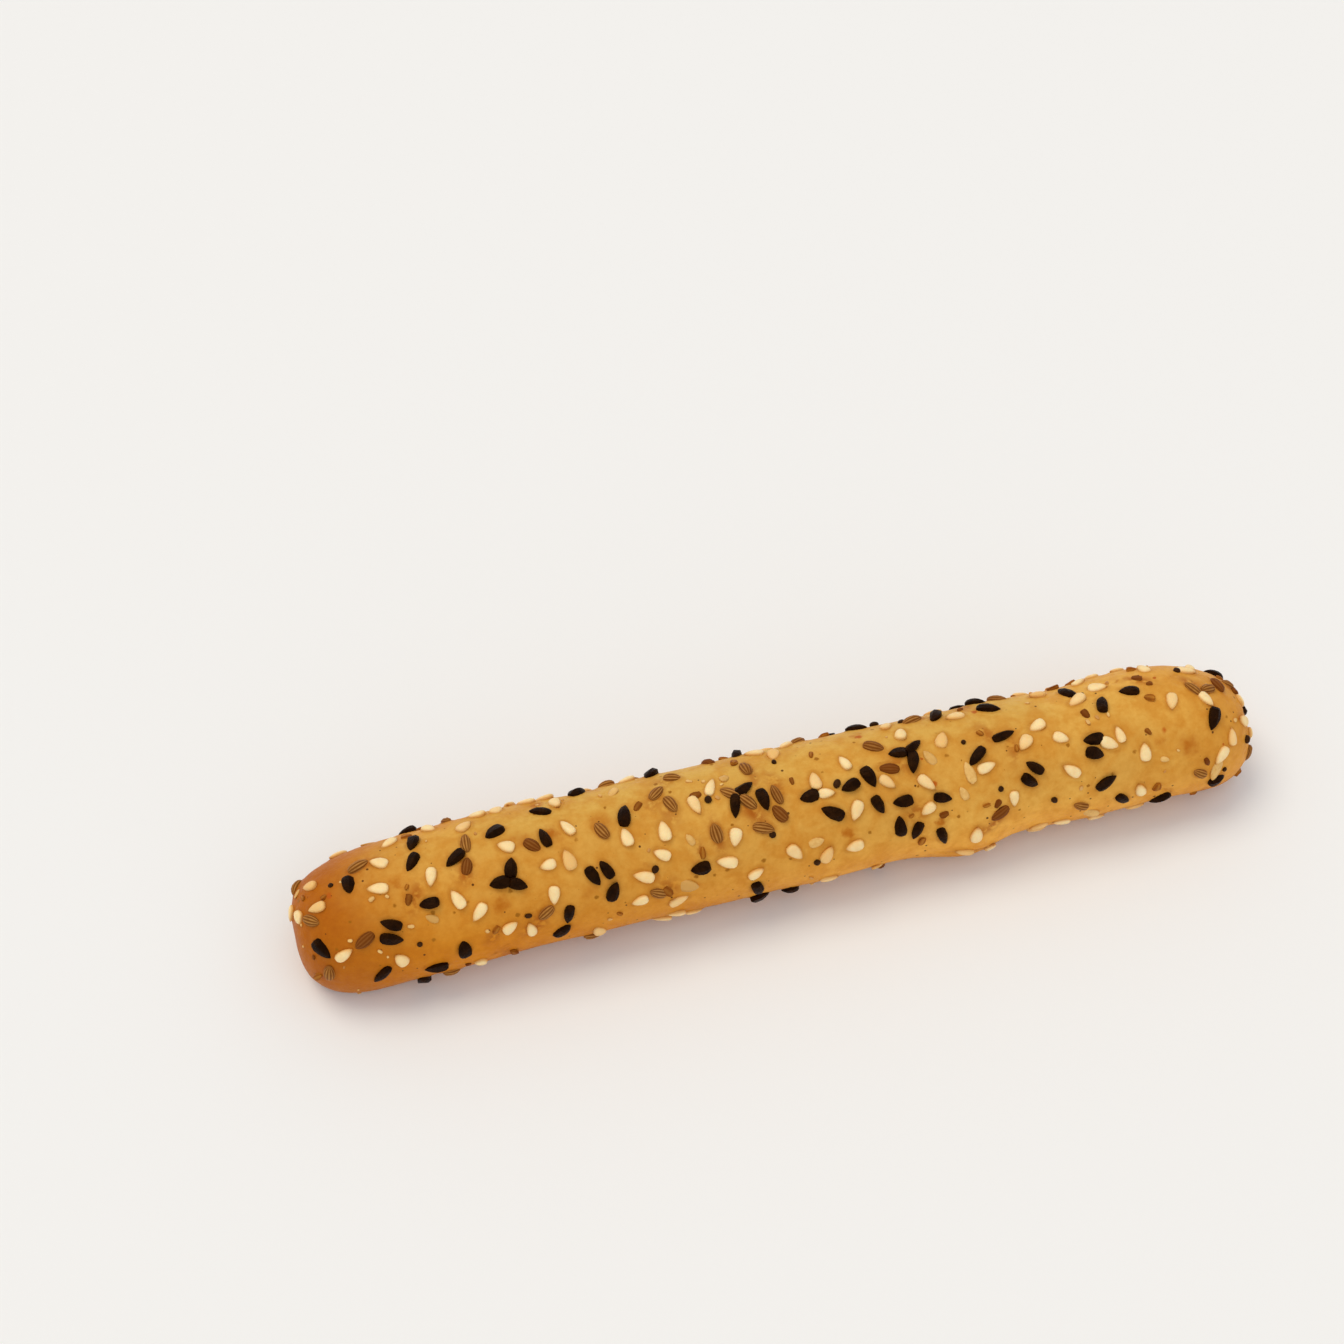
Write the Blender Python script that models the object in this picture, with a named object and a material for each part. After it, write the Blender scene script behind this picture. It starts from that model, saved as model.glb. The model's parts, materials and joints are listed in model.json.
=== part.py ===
# A baked breadstick, crusted with sesame, nigella and anise seeds, as one solid.
# It lies along X on its flat foot, with the foot's middle at the origin and +Z up.
# Sizes are in metres. Angles round the stick are in degrees: 0 is the back, 90 the top, 180 the front.

import math
import random

import bmesh
import bpy
from mathutils import Matrix, Vector
from mathutils.bvhtree import BVHTree

# Driving dimensions of the dough stick.
LENGTH = 0.142
BREADTH = 0.0201
HEIGHT = 0.0184
TAPER = 0.034            # how much thinner the right end is than the left, as a share
FOOT_CUT = 0.0011        # height of the round belly that the baking tray pressed flat
FOOT_EDGE = 0.0005       # height over which the belly rounds into the flat foot
MIDDLE_SHIFT = 0.0001    # how far the stick is set back, so that its box is centred over the foot

# The two ends. The cap is the stretch over which the stick rounds off. A higher bluntness makes
# the end squarer. The tip sinks towards the tray by the droop, fading over the reach.
CAP_LENGTH = 0.0145
CAP_POWER = 2.6
LEFT_END = {"bluntness": 3.1, "droop": 0.0022, "reach": 0.0195}
RIGHT_END = {"bluntness": 3.9, "droop": 0.0020, "reach": 0.0075}

# Lumps on the dough: place along (share of the length), place around, height,
# reach along (share of the length) and reach around.
LUMPS = (
    (0.105, 212.0, -0.0003, 0.045, 34.0),
    (0.186, 214.0, 0.0014, 0.038, 30.0),
    (0.018, 222.0, 0.0002, 0.015, 18.0),
    (-0.300, 70.0, 0.0003, 0.080, 50.0),
    (0.330, 60.0, -0.0002, 0.070, 45.0),
    (-0.120, 340.0, 0.0003, 0.060, 40.0),
    (0.260, 350.0, -0.0003, 0.060, 40.0),
)
WAVE_COUNT = 9           # slow swells of the dough, drawn at random from one seed
WAVE_HEIGHT = 0.00009
WAVE_TURNS = (0, 1, 2, 3)
WAVE_STEP = 0.9          # how many more swells each wave has along the stick than the one before
WAVE_SEED = 17

# Facets of the dough stick.
SIDES = 20
RINGS = 28
CAP_RING_SHARE = 0.20    # share of the rings that each round end takes

# Seeds: length, breadth and thickness, how much slimmer the pointed end is, the share of the
# thickness that sits in the crust, and the rows of facets along the seed.
SEED_KINDS = {
    "sesame": {"size": (0.0027, 0.00165, 0.00095), "point": 0.50, "sunk": 0.38, "rings": 3},
    "nigella": {"size": (0.0030, 0.00175, 0.00150), "point": 0.40, "sunk": 0.42, "rings": 4},
    "anise": {"size": (0.0028, 0.00162, 0.00135), "point": 0.20, "sunk": 0.46, "rings": 4},
}
KIND_SHARES = (("sesame", 0.60), ("nigella", 0.24), ("anise", 0.16))
SEED_SIDES = 5
SEED_ROUNDNESS = 0.8     # below 1 makes a seed's ends fuller than an ellipse
SIZE_SPREAD = 0.14       # how far a seed's size strays from its kind's
LEAN_SPREAD = 8.0        # how far a seed leans out of the crust's plane
LAYOUT_SEED = 58
SCATTERED_SEEDS = 228    # seeds outside the clumps
SEED_GAP = 0.0026        # nearest that two scattered seeds' middles lie
LOWEST_SEED = 0.0020     # no seed's middle lies lower than this over the tray
TIP_MARGIN = 0.004       # share of the rings at each tip that stays free of seeds
SEEDS_IN_SOLID = 240     # the largest seeds, which the solid carries

# How thickly seeds lie round the stick: everywhere, and more in two bands, each with its middle,
# its width and how much it adds.
COVER_EVERYWHERE = 0.22
COVER_BANDS = ((118.0, 38.0, 0.78), (30.0, 60.0, 0.26))

# Clumps where seeds stuck together: place along (share of the length), place around, turn of the
# first seed, and the kinds in the clump.
CLUMPS = (
    (-0.288, 121.0, 70.0, ("nigella", "nigella", "nigella")),
    (-0.252, 98.0, 20.0, ("nigella", "anise")),
    (-0.410, 137.0, 80.0, ("nigella", "nigella")),
    (-0.201, 133.0, 15.0, ("nigella", "nigella")),
    (-0.330, 99.0, 130.0, ("nigella", "anise")),
    (-0.048, 99.0, 50.0, ("nigella", "anise", "nigella", "anise")),
    (-0.018, 104.0, 10.0, ("anise", "nigella")),
    (0.030, 107.0, 85.0, ("sesame", "nigella", "sesame")),
    (0.130, 94.0, 160.0, ("nigella", "nigella", "nigella")),
    (0.104, 108.0, 70.0, ("anise", "sesame")),
    (0.248, 134.0, 60.0, ("nigella", "nigella")),
    (0.317, 123.0, 80.0, ("nigella", "nigella")),
    (0.340, 121.0, 30.0, ("sesame", "sesame")),
    (0.200, 115.0, 120.0, ("nigella", "sesame")),
    (0.448, 94.0, 150.0, ("anise", "sesame", "anise")),
    (-0.478, 104.0, 60.0, ("sesame", "anise")),
)
PAIR_REACH = 0.00105     # how far two clumped seeds lie from the clump's middle
GROUP_REACH = 0.00145    # the same for three or more
CLUMP_TURN_SPREAD = 28.0

CRUST_COLOR = (0.62, 0.31, 0.055, 1.0)
SEED_COLORS = {
    "sesame": (0.82, 0.60, 0.28, 1.0),
    "nigella": (0.012, 0.010, 0.010, 1.0),
    "anise": (0.22, 0.085, 0.030, 1.0),
}
CRUST_ROUGHNESS = 0.5
SEED_ROUGHNESS = 0.45

SLOPE_STEP = 1e-4        # the small step over which the surface's directions are measured
PATCH_SAMPLES = 200      # places along the stick where the largest patch is looked for
HALVINGS = 40            # steps of the search for the ring at a place along the stick
SEAT_REACH = 0.002       # how far above and below its place a seed looks for the facet it sits on


def clear_scene():
    for old in list(bpy.data.objects):
        bpy.data.objects.remove(old)


def material(name, color, roughness):
    made = bpy.data.materials.new(name)
    made.use_nodes = True
    shader = made.node_tree.nodes["Principled BSDF"]
    shader.inputs["Base Color"].default_value = color
    shader.inputs["Roughness"].default_value = roughness
    shader.inputs["Metallic"].default_value = 0.0
    made.diffuse_color = color
    return made


def draw_waves():
    rng = random.Random(WAVE_SEED)
    waves = []
    for number in range(WAVE_COUNT):
        cycles = 1 + WAVE_STEP * number
        turns = rng.choice(WAVE_TURNS)
        waves.append((cycles, turns, rng.uniform(0, math.tau), rng.uniform(0, math.tau)))
    return waves


WAVES = draw_waves()


def end_at(x):
    return LEFT_END if x < 0 else RIGHT_END


def girth_share(x):
    # 1 along the stick's middle, falling to 0 at each tip.
    into_cap = (abs(x) - (LENGTH / 2 - CAP_LENGTH)) / CAP_LENGTH
    if into_cap <= 0:
        return 1.0
    return max(0.0, 1 - into_cap ** CAP_POWER) ** (1 / end_at(x)["bluntness"])


def droop(x):
    # How far the stick's middle line sinks at x, most at each tip.
    from_tip = LENGTH / 2 - abs(x)
    return end_at(x)["droop"] * math.exp(-(from_tip / end_at(x)["reach"]) ** 2)


def degrees_between(a, b):
    return abs((a - b + 180) % 360 - 180)


def unevenness(share, degrees):
    # Height of the dough's lumps and slow swells over the plain rounded shape.
    height = 0.0
    for along, around, lump, reach_along, reach_around in LUMPS:
        far_along = (share - along) / reach_along
        far_around = degrees_between(degrees, around) / reach_around
        height += lump * math.exp(-far_along ** 2 - far_around ** 2)
    for cycles, turns, phase, turn_phase in WAVES:
        swell = math.sin(math.tau * cycles * share + phase)
        height += WAVE_HEIGHT * swell * math.cos(turns * math.radians(degrees) + turn_phase)
    return height


def above_foot(z):
    # Flattens what would lie below the tray, with a small round edge.
    if z >= FOOT_EDGE:
        return z
    return max(0.0, z + FOOT_EDGE) ** 2 / (4 * FOOT_EDGE)


def crust_point(x, degrees):
    # The point of the dough's surface at x along the stick and at that angle round it.
    share = x / LENGTH
    girth = girth_share(x)
    size = 1 - TAPER * share
    half_height = (HEIGHT + FOOT_CUT) / 2 * size
    swell = unevenness(share, degrees)
    out_y = (BREADTH / 2 * size + swell) * girth * math.cos(math.radians(degrees))
    out_z = (half_height + swell) * girth * math.sin(math.radians(degrees))
    middle_z = half_height - FOOT_CUT - droop(x)
    return Vector((x, MIDDLE_SHIFT + out_y, above_foot(middle_z + out_z)))


def station(ring):
    # Place along the stick for a ring from 0 to 1, with the rings drawn closer in the round ends.
    half = LENGTH / 2
    if ring > 0.5:
        return -station(1 - ring)
    if ring < CAP_RING_SHARE:
        return -half + CAP_LENGTH * (1 - math.cos(math.pi / 2 * ring / CAP_RING_SHARE))
    return -(half - CAP_LENGTH) * (0.5 - ring) / (0.5 - CAP_RING_SHARE)


def ring_at(x):
    # The inverse of station(), by halving.
    low, high = 0.0, 1.0
    for _ in range(HALVINGS):
        middle = (low + high) / 2
        if station(middle) < x:
            low = middle
        else:
            high = middle
    return (low + high) / 2


def crust_frame(ring, degrees):
    # The surface's point, its direction along the stick, its outward direction and the area of
    # crust for each step of ring and angle.
    low = max(0.0, ring - SLOPE_STEP)
    high = min(1.0, ring + SLOPE_STEP)
    turn = math.degrees(SLOPE_STEP)
    along = crust_point(station(high), degrees) - crust_point(station(low), degrees)
    around = crust_point(station(ring), degrees + turn) - crust_point(station(ring), degrees - turn)
    outward = around.cross(along)
    patch = outward.length / ((high - low) * 2 * SLOPE_STEP)
    return crust_point(station(ring), degrees), along.normalized(), outward.normalized(), patch


def cover(degrees):
    # How thickly seeds lie at that angle: most on the upper front, fewest near the tray.
    thickness = COVER_EVERYWHERE
    for middle, width, more in COVER_BANDS:
        thickness += more * math.exp(-(degrees_between(degrees, middle) / width) ** 2)
    return min(1.0, thickness)


def pick_kind(rng):
    draw = rng.random()
    for kind, share in KIND_SHARES:
        draw -= share
        if draw < 0:
            return kind
    return KIND_SHARES[0][0]


def seed_at(rng, kind, ring, degrees, turn):
    point, along, outward, _ = crust_frame(ring, degrees)
    size = [side * (1 + SIZE_SPREAD * rng.uniform(-1, 1)) for side in SEED_KINDS[kind]["size"]]
    lean = [math.radians(LEAN_SPREAD) * rng.uniform(-1, 1) for _ in range(2)]
    seed = {"kind": kind, "point": point, "along": along, "outward": outward}
    seed.update({"turn": turn, "lean": lean, "size": size})
    return seed


def clumped_seeds(rng):
    # Two seeds lie side by side; three or more point at the clump's middle.
    seeds = []
    for share, degrees, first_turn, kinds in CLUMPS:
        pair = len(kinds) == 2
        reach = PAIR_REACH if pair else GROUP_REACH
        for number, kind in enumerate(kinds):
            bearing = math.tau * number / len(kinds) + math.radians(first_turn)
            x = share * LENGTH + reach * math.cos(bearing)
            place = degrees - math.degrees(reach * math.sin(bearing) / (BREADTH / 2))
            turn = bearing + math.radians(CLUMP_TURN_SPREAD) * rng.uniform(-1, 1)
            if pair:
                turn += math.pi / 2
            seeds.append(seed_at(rng, kind, ring_at(x), place, turn))
    return seeds


def lay_out_seeds():
    # Clumps first, then single seeds wherever the crust is free, thicker where cover() says so.
    # The largest seeds come first in the list.
    rng = random.Random(LAYOUT_SEED)
    seeds = clumped_seeds(rng)
    rings = [(number + 0.5) / PATCH_SAMPLES for number in range(PATCH_SAMPLES)]
    largest_patch = max(crust_frame(ring, 90.0)[3] for ring in rings)
    wanted = len(seeds) + SCATTERED_SEEDS
    while len(seeds) < wanted:
        ring = rng.uniform(TIP_MARGIN, 1 - TIP_MARGIN)
        degrees = rng.uniform(0, 360)
        draw = rng.random()
        point, _, _, patch = crust_frame(ring, degrees)
        if draw > cover(degrees) * patch / largest_patch or point.z < LOWEST_SEED:
            continue
        if min((point - other["point"]).length for other in seeds) < SEED_GAP:
            continue
        seeds.append(seed_at(rng, pick_kind(rng), ring, degrees, rng.uniform(0, math.tau)))
    seeds.sort(key=lambda seed: -math.prod(seed["size"]))
    return seeds


def seed_placement(seed):
    # The matrix that carries a seed, lying along +X with +Z up, to its place on the crust.
    outward = seed["outward"]
    side = outward.cross(seed["along"]).normalized()
    axes = Matrix((side.cross(outward), side, outward)).transposed().to_4x4()
    turn = Matrix.Rotation(seed["turn"], 4, "Z")
    lean = Matrix.Rotation(seed["lean"][0], 4, "X") @ Matrix.Rotation(seed["lean"][1], 4, "Y")
    rise = seed["size"][2] * (0.5 - SEED_KINDS[seed["kind"]]["sunk"])
    return Matrix.Translation(seed["point"] + outward * rise) @ axes @ turn @ lean


def build_dough():
    # A globe with its poles at the two tips, every point moved onto the stick's surface.
    bm = bmesh.new()
    bmesh.ops.create_uvsphere(bm, u_segments=SIDES, v_segments=RINGS, radius=1.0)
    for corner in bm.verts:
        x, y, z = corner.co
        ring = math.acos(max(-1.0, min(1.0, -z))) / math.pi
        corner.co = crust_point(station(ring), math.degrees(math.atan2(x, y)))
    bmesh.ops.recalc_face_normals(bm, faces=bm.faces)
    mesh = bpy.data.meshes.new("breadstick")
    bm.to_mesh(mesh)
    bm.free()
    mesh.materials.append(material("golden crust", CRUST_COLOR, CRUST_ROUGHNESS))
    return bpy.data.objects.new("breadstick", mesh)


def seat_on_facets(body, seeds):
    # The dough's facets lie a little inside its true surface, so each seed moves down to them.
    tree = BVHTree.FromObject(body, bpy.context.evaluated_depsgraph_get())
    for seed in seeds:
        start = seed["point"] + seed["outward"] * SEAT_REACH
        seat = tree.ray_cast(start, -seed["outward"], 2 * SEAT_REACH)[0]
        if seat is not None:
            seed["point"] = seat


def build_seed(name, seed, seed_material):
    # A small globe with its poles at the seed's two ends, slimmer towards the pointed one. One
    # edge runs along its top, and its flat underside lies in the crust.
    length, breadth, thickness = seed["size"]
    kind = SEED_KINDS[seed["kind"]]
    bm = bmesh.new()
    bmesh.ops.create_uvsphere(bm, u_segments=SEED_SIDES, v_segments=kind["rings"], radius=0.5)
    girths = []
    for corner in bm.verts:
        around = 2 * math.hypot(corner.co.x, corner.co.y)
        girths.append(around ** SEED_ROUNDNESS * (1 - kind["point"] * (corner.co.z + 0.5)))
    fullest = max(girths)
    for corner, girth in zip(bm.verts, girths):
        side = Vector((corner.co.y, corner.co.x)).normalized() * girth / fullest / 2
        corner.co = Vector((corner.co.z * length, side.x * breadth, side.y * thickness))
    bmesh.ops.recalc_face_normals(bm, faces=bm.faces)
    mesh = bpy.data.meshes.new(name)
    bm.to_mesh(mesh)
    bm.free()
    mesh.materials.append(seed_material)
    made = bpy.data.objects.new(name, mesh)
    made.matrix_world = seed_placement(seed)
    return made


def fuse(body, collection):
    # Joins every seed to the dough in one union, then drops the loose seeds.
    union = body.modifiers.new("seeds", "BOOLEAN")
    union.operation = "UNION"
    union.operand_type = "COLLECTION"
    union.collection = collection
    union.solver = "EXACT"
    union.material_mode = "TRANSFER"
    graph = bpy.context.evaluated_depsgraph_get()
    fused = bpy.data.meshes.new_from_object(body.evaluated_get(graph))
    body.modifiers.clear()
    body.data = fused
    for loose in list(collection.objects):
        bpy.data.objects.remove(loose)
    bpy.data.collections.remove(collection)


def main():
    clear_scene()
    home = bpy.data.collections.new("seeded breadstick")
    bpy.context.scene.collection.children.link(home)
    body = build_dough()
    home.objects.link(body)
    loose = bpy.data.collections.new("loose seeds")
    bpy.context.scene.collection.children.link(loose)
    finishes = {}
    for kind, color in SEED_COLORS.items():
        finishes[kind] = material(kind + " seed", color, SEED_ROUGHNESS)
    bpy.context.view_layer.update()
    seeds = lay_out_seeds()[:SEEDS_IN_SOLID]
    seat_on_facets(body, seeds)
    for number, seed in enumerate(seeds):
        loose.objects.link(build_seed(f"seed_{number:03d}", seed, finishes[seed["kind"]]))
    bpy.context.view_layer.update()
    fuse(body, loose)
    bpy.context.view_layer.update()


main()
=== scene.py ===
# A nigella seed breadstick: a short baked bread finger, its crust set with sesame, nigella and anise.
# Metres and degrees. Angles round the stick: 0 is the back, 90 the top, 180 the front.
import json
import math
import random

import bmesh
import bpy
import numpy as np
from mathutils import Matrix, Vector

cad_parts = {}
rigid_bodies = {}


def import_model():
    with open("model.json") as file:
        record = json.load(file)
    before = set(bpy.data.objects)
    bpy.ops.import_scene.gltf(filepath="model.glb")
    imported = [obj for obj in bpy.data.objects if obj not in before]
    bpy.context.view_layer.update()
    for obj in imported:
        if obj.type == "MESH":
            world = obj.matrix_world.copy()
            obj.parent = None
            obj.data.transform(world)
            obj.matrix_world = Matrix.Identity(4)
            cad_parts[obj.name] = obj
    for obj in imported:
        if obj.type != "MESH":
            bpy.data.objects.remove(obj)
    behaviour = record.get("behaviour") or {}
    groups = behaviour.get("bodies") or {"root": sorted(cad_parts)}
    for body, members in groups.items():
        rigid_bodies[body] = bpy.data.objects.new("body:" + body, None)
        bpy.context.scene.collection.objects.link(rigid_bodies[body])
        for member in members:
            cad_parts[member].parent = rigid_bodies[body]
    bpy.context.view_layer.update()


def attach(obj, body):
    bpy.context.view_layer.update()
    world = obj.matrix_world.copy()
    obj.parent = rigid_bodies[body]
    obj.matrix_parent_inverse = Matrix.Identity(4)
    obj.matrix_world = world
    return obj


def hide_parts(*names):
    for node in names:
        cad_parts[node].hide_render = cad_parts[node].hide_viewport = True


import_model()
print("frame loaded")

# The dough stick, the same shape as the solid in the frame.
stick = {
    "length": 0.142,
    "breadth": 0.0201,
    "height": 0.0184,
    "taper": 0.034,            # how much thinner the right end is, as a share
    "footCut": 0.0011,         # height of the belly that the tray pressed flat
    "footEdge": 0.0005,
    "middleShift": 0.0001,
    "capLength": 0.0145,
    "capPower": 2.6,
    "leftEnd": {"bluntness": 3.1, "droop": 0.0022, "reach": 0.0195},
    "rightEnd": {"bluntness": 3.9, "droop": 0.0020, "reach": 0.0075},
    # place along (share), place around, height, reach along (share), reach around
    "lumps": (
        (0.105, 212.0, -0.0003, 0.045, 34.0),
        (0.186, 214.0, 0.0014, 0.038, 30.0),
        (0.018, 222.0, 0.0002, 0.015, 18.0),
        (-0.300, 70.0, 0.0003, 0.080, 50.0),
        (0.330, 60.0, -0.0002, 0.070, 45.0),
        (-0.120, 340.0, 0.0003, 0.060, 40.0),
        (0.260, 350.0, -0.0003, 0.060, 40.0),
    ),
    "waveCount": 9,
    "waveHeight": 0.00009,
    "waveTurns": (0, 1, 2, 3),
    "waveStep": 0.9,
    "waveSeed": 17,
}


def drawWaves():
    rng = random.Random(stick["waveSeed"])
    drawn = []
    for number in range(stick["waveCount"]):
        cycles = 1 + stick["waveStep"] * number
        turns = rng.choice(stick["waveTurns"])
        drawn.append((cycles, turns, rng.uniform(0, math.tau), rng.uniform(0, math.tau)))
    return drawn


waves = drawWaves()
topDegrees = 90.0


def degreesBetween(a, b):
    return np.abs((a - b + 180) % 360 - 180)


def unevenness(share, degrees):
    # lumps and slow swells of the dough over the plain rounded shape
    height = 0.0
    for along, around, lump, reachAlong, reachAround in stick["lumps"]:
        farAlong = (share - along) / reachAlong
        farAround = degreesBetween(degrees, around) / reachAround
        height = height + lump * np.exp(-farAlong ** 2 - farAround ** 2)
    for cycles, turns, phase, turnPhase in waves:
        swell = np.sin(math.tau * cycles * share + phase)
        height = height + stick["waveHeight"] * swell * np.cos(turns * np.radians(degrees) + turnPhase)
    return height


def crustPoint(x, degrees):
    # the dough's surface at x along the stick and at that angle round it, for one place or an array
    share = x / stick["length"]
    fromTip = stick["length"] / 2 - np.abs(x)
    atEnd = {key: np.where(x < 0, stick["leftEnd"][key], stick["rightEnd"][key])
             for key in ("bluntness", "droop", "reach")}
    intoCap = np.clip(1 - fromTip / stick["capLength"], 0, 1)
    girth = (1 - intoCap ** stick["capPower"]) ** (1 / atEnd["bluntness"])
    size = 1 - stick["taper"] * share
    halfHeight = (stick["height"] + stick["footCut"]) / 2 * size
    swell = unevenness(share, degrees)
    y = stick["middleShift"] + (stick["breadth"] / 2 * size + swell) * girth * np.cos(np.radians(degrees))
    sink = atEnd["droop"] * np.exp(-(fromTip / atEnd["reach"]) ** 2)
    z = halfHeight - stick["footCut"] - sink + (halfHeight + swell) * girth * np.sin(np.radians(degrees))
    edge = stick["footEdge"]
    z = np.where(z >= edge, z, np.maximum(0, z + edge) ** 2 / (4 * edge))
    return np.stack(np.broadcast_arrays(x, y, z), -1)


def station(ring, capShare):
    # place along the stick for a ring from 0 to 1, with the rings drawn closer in the round ends
    half, cap = stick["length"] / 2, stick["capLength"]
    near = np.minimum(ring, 1 - ring)
    inCap = -half + cap * (1 - np.cos(math.pi / 2 * near / capShare))
    inMiddle = -(half - cap) * (0.5 - near) / (0.5 - capShare)
    x = np.where(near < capShare, inCap, inMiddle)
    return np.where(ring > 0.5, -x, x)


# The seeds, laid out by the same rule and the same draws as those on the solid.
sowing = {
    "kinds": {
        "sesame": {"size": (0.0027, 0.00165, 0.00095), "sunk": 0.38},
        "nigella": {"size": (0.0030, 0.00175, 0.00150), "sunk": 0.42},
        "anise": {"size": (0.0028, 0.00162, 0.00135), "sunk": 0.46},
    },
    "shares": (("sesame", 0.60), ("nigella", 0.24), ("anise", 0.16)),
    "capRingShare": 0.20,
    "sizeSpread": 0.14,
    "leanSpread": 8.0,
    "draw": 58,
    "scattered": 228,
    "gap": 0.0026,
    "lowest": 0.0020,
    "tipMargin": 0.004,
    "coverEverywhere": 0.22,
    "coverBands": ((118.0, 38.0, 0.78), (30.0, 60.0, 0.26)),
    # clumps of seeds that stuck together: place along (share), place around, first turn, kinds
    "clumps": (
        (-0.288, 121.0, 70.0, ("nigella", "nigella", "nigella")),
        (-0.252, 98.0, 20.0, ("nigella", "anise")),
        (-0.410, 137.0, 80.0, ("nigella", "nigella")),
        (-0.201, 133.0, 15.0, ("nigella", "nigella")),
        (-0.330, 99.0, 130.0, ("nigella", "anise")),
        (-0.048, 99.0, 50.0, ("nigella", "anise", "nigella", "anise")),
        (-0.018, 104.0, 10.0, ("anise", "nigella")),
        (0.030, 107.0, 85.0, ("sesame", "nigella", "sesame")),
        (0.130, 94.0, 160.0, ("nigella", "nigella", "nigella")),
        (0.104, 108.0, 70.0, ("anise", "sesame")),
        (0.248, 134.0, 60.0, ("nigella", "nigella")),
        (0.317, 123.0, 80.0, ("nigella", "nigella")),
        (0.340, 121.0, 30.0, ("sesame", "sesame")),
        (0.200, 115.0, 120.0, ("nigella", "sesame")),
        (0.448, 94.0, 150.0, ("anise", "sesame", "anise")),
        (-0.478, 104.0, 60.0, ("sesame", "anise")),
    ),
    "pairReach": 0.00105,
    "groupReach": 0.00145,
    "clumpTurnSpread": 28.0,
    "slopeStep": 1e-4,
    "patchSamples": 200,
    "halvings": 40,
}


def surfaceAxes(along, outward):
    # X along the stick, Y round it, Z out of the crust
    side = outward.cross(along).normalized()
    return Matrix((side.cross(outward), side, outward)).transposed()


def crustFrame(ring, degrees):
    # point, direction along the stick, outward direction, and the crust's area per step
    step, capShare = sowing["slopeStep"], sowing["capRingShare"]
    low, high = max(0.0, ring - step), min(1.0, ring + step)
    turn = math.degrees(step)
    x = station(ring, capShare)
    places = crustPoint(
        np.array([station(high, capShare), station(low, capShare), x, x, x]),
        np.array([degrees, degrees, degrees + turn, degrees - turn, degrees]),
    )
    along = Vector(places[0] - places[1])
    around = Vector(places[2] - places[3])
    outward = around.cross(along)
    patch = outward.length / ((high - low) * 2 * step)
    return Vector(places[4]), along.normalized(), outward.normalized(), patch


def cover(degrees):
    thickness = sowing["coverEverywhere"]
    for middle, width, more in sowing["coverBands"]:
        thickness += more * math.exp(-(degreesBetween(degrees, middle) / width) ** 2)
    return min(1.0, thickness)


def pickKind(rng):
    draw = rng.random()
    for kind, share in sowing["shares"]:
        draw -= share
        if draw < 0:
            return kind
    return sowing["shares"][0][0]


def ringAt(x):
    low, high = 0.0, 1.0
    for _ in range(sowing["halvings"]):
        middle = (low + high) / 2
        if station(middle, sowing["capRingShare"]) < x:
            low = middle
        else:
            high = middle
    return (low + high) / 2


def seedAt(rng, kind, ring, degrees, turn):
    point, along, outward, _ = crustFrame(ring, degrees)
    spread = sowing["sizeSpread"]
    size = [side * (1 + spread * rng.uniform(-1, 1)) for side in sowing["kinds"][kind]["size"]]
    lean = [math.radians(sowing["leanSpread"]) * rng.uniform(-1, 1) for _ in range(2)]
    tilt = Matrix.Rotation(lean[0], 3, "X") @ Matrix.Rotation(lean[1], 3, "Y")
    rotation = surfaceAxes(along, outward) @ Matrix.Rotation(turn, 3, "Z") @ tilt
    rise = size[2] * (0.5 - sowing["kinds"][kind]["sunk"])
    return {"kind": kind, "point": point, "outward": outward, "size": size, "rotation": rotation,
            "place": point + outward * rise}


def sowClumps(rng):
    seeds = []
    for share, degrees, firstTurn, kinds in sowing["clumps"]:
        pair = len(kinds) == 2
        reach = sowing["pairReach"] if pair else sowing["groupReach"]
        for number, kind in enumerate(kinds):
            bearing = math.tau * number / len(kinds) + math.radians(firstTurn)
            x = share * stick["length"] + reach * math.cos(bearing)
            place = degrees - math.degrees(reach * math.sin(bearing) / (stick["breadth"] / 2))
            turn = bearing + math.radians(sowing["clumpTurnSpread"]) * rng.uniform(-1, 1)
            if pair:
                turn += math.pi / 2      # two lie side by side, three or more point inwards
            seeds.append(seedAt(rng, kind, ringAt(x), place, turn))
    return seeds


def sowSeeds():
    rng = random.Random(sowing["draw"])
    seeds = sowClumps(rng)
    samples = sowing["patchSamples"]
    largestPatch = max(crustFrame((number + 0.5) / samples, topDegrees)[3] for number in range(samples))
    wanted = len(seeds) + sowing["scattered"]
    while len(seeds) < wanted:
        ring = rng.uniform(sowing["tipMargin"], 1 - sowing["tipMargin"])
        degrees = rng.uniform(0, 360)
        draw = rng.random()
        point, _, _, patch = crustFrame(ring, degrees)
        if draw > cover(degrees) * patch / largestPatch or point.z < sowing["lowest"]:
            continue
        if min((point - other["point"]).length for other in seeds) < sowing["gap"]:
            continue
        seeds.append(seedAt(rng, pickKind(rng), ring, degrees, rng.uniform(0, math.tau)))
    return seeds


seeds = sowSeeds()
print("seeds laid out:", len(seeds))

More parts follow.
